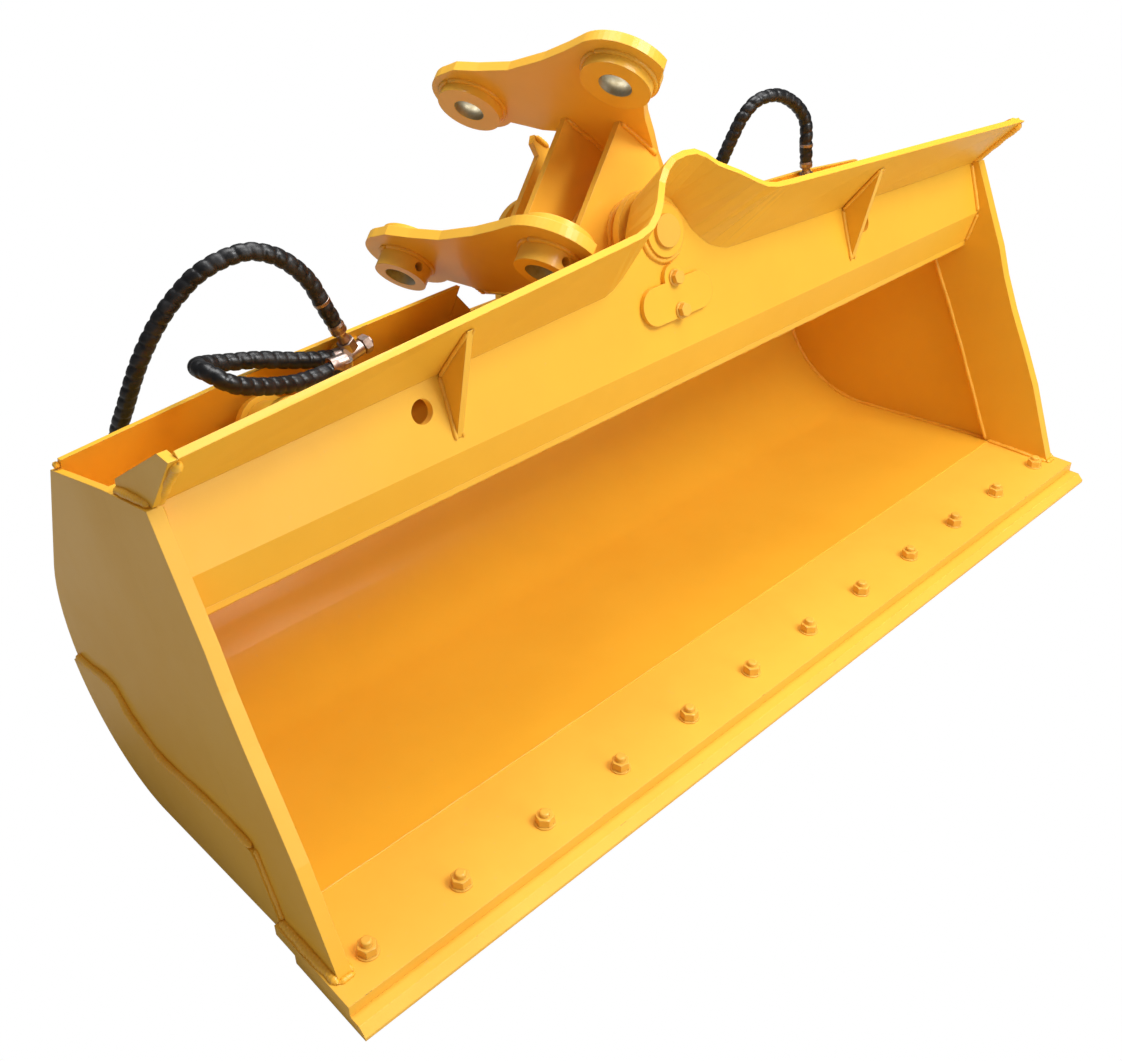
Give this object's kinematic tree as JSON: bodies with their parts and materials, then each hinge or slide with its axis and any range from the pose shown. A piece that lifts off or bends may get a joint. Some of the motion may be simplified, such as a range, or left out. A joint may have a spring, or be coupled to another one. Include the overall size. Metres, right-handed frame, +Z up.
{
  "type": "tilt bucket",
  "caption": "Excavator tilting ditch bucket: wide curved shell with a bolt-on edge, and a two-ear headstock tilted about a pivot by two hydraulic cylinders.",
  "frame": {"origin": "middle of the base plate's front edge, at the underside of the bolt-on cutting edge", "axes": "+X along the cutting edge to the right, +Y to the rear, +Z up"},
  "size_m": [1.804, 0.8275, 0.9666],
  "materials": {
    "orange_paint": "satin",
    "edge_paint": "satin",
    "steel": "satin",
    "rod_chrome": "gloss",
    "bronze": "satin",
    "zinc": "satin",
    "hose_rubber": "matte"
  },
  "bodies": {
    "bucket": {"shell": "orange_paint", "base_edge": "orange_paint", "bolt_on_edge": "edge_paint", "edge_bolts": "steel", "edge_nuts": "steel", "left_side_plate": "orange_paint", "right_side_plate": "orange_paint", "left_front_strip": "orange_paint", "right_front_strip": "orange_paint", "left_wear_plate": "orange_paint", "right_wear_plate": "orange_paint", "front_face": "orange_paint", "top_lip": "orange_paint", "lip_gussets": "orange_paint", "end_gussets": "orange_paint", "channel_floor": "orange_paint", "front_boss": "orange_paint", "rear_bearing_plate": "orange_paint", "pivot_pin": "steel", "keeper_plate": "orange_paint", "keeper_bolts": "steel", "left_base_lugs": "orange_paint", "right_base_lugs": "orange_paint", "left_base_pin": "steel", "right_base_pin": "steel", "left_hose_bracket": "orange_paint", "right_hose_bracket": "orange_paint", "tee_fitting": "zinc", "left_hose": "hose_rubber", "left_hose_end": "zinc", "loop_hose": "hose_rubber", "right_hose_fitting": "zinc", "right_hose": "hose_rubber", "right_hose_end": "zinc"},
    "headstock": {"left_ear": "orange_paint", "right_ear": "orange_paint", "left_ear_bosses": "orange_paint", "right_ear_bosses": "orange_paint", "front_cross_plate": "orange_paint", "middle_cross_plate": "orange_paint", "rear_cross_plate": "orange_paint", "hub_tube": "orange_paint", "thrust_ring": "orange_paint", "hub_bushes": "bronze", "lug_pin_stubs": "steel"},
    "left_cylinder": {"left_barrel": "orange_paint", "left_gland": "steel", "loop_elbow": "zinc"},
    "right_cylinder": {"right_barrel": "orange_paint", "right_gland": "steel"},
    "left_rod_body": {"left_rod": "rod_chrome"},
    "right_rod_body": {"right_rod": "rod_chrome"}
  },
  "joints": [
    {"name": "head_tilt", "type": "hinge", "parent": "bucket", "child": "headstock", "pos_m": [0, 0.33475, 0.67459], "axis": [0, 0.9483, -0.3173], "range_deg": [0, 90]},
    {"name": "left_swing", "type": "hinge", "parent": "bucket", "child": "left_cylinder", "pos_m": [-0.6, 0.49411, 0.51583], "axis": [0, 0.9483, -0.3173], "range_deg": [-5, 0.1], "deforming": ["loop_hose"]},
    {"name": "right_swing", "type": "hinge", "parent": "bucket", "child": "right_cylinder", "pos_m": [0.6, 0.49411, 0.51583], "axis": [0, 0.9483, -0.3173], "range_deg": [-8.3, 0.1]},
    {"name": "left_stroke", "type": "slide", "parent": "left_cylinder", "child": "left_rod_body", "axis": [1, -0.0006, -0.0016], "range_m": [-0.1482, 0.001]},
    {"name": "right_stroke", "type": "slide", "parent": "right_cylinder", "child": "right_rod_body", "axis": [-0.9936, 0.0359, 0.1074], "range_m": [-0.001, 0.1358]}
  ],
  "couplings": [
    {"joint": "left_swing", "follows": "head_tilt", "ratio": -0.05444},
    {"joint": "right_swing", "follows": "head_tilt", "ratio": -0.09111},
    {"joint": "left_stroke", "follows": "head_tilt", "m_per_rad": -0.09371},
    {"joint": "right_stroke", "follows": "head_tilt", "m_per_rad": 0.08582}
  ]
}
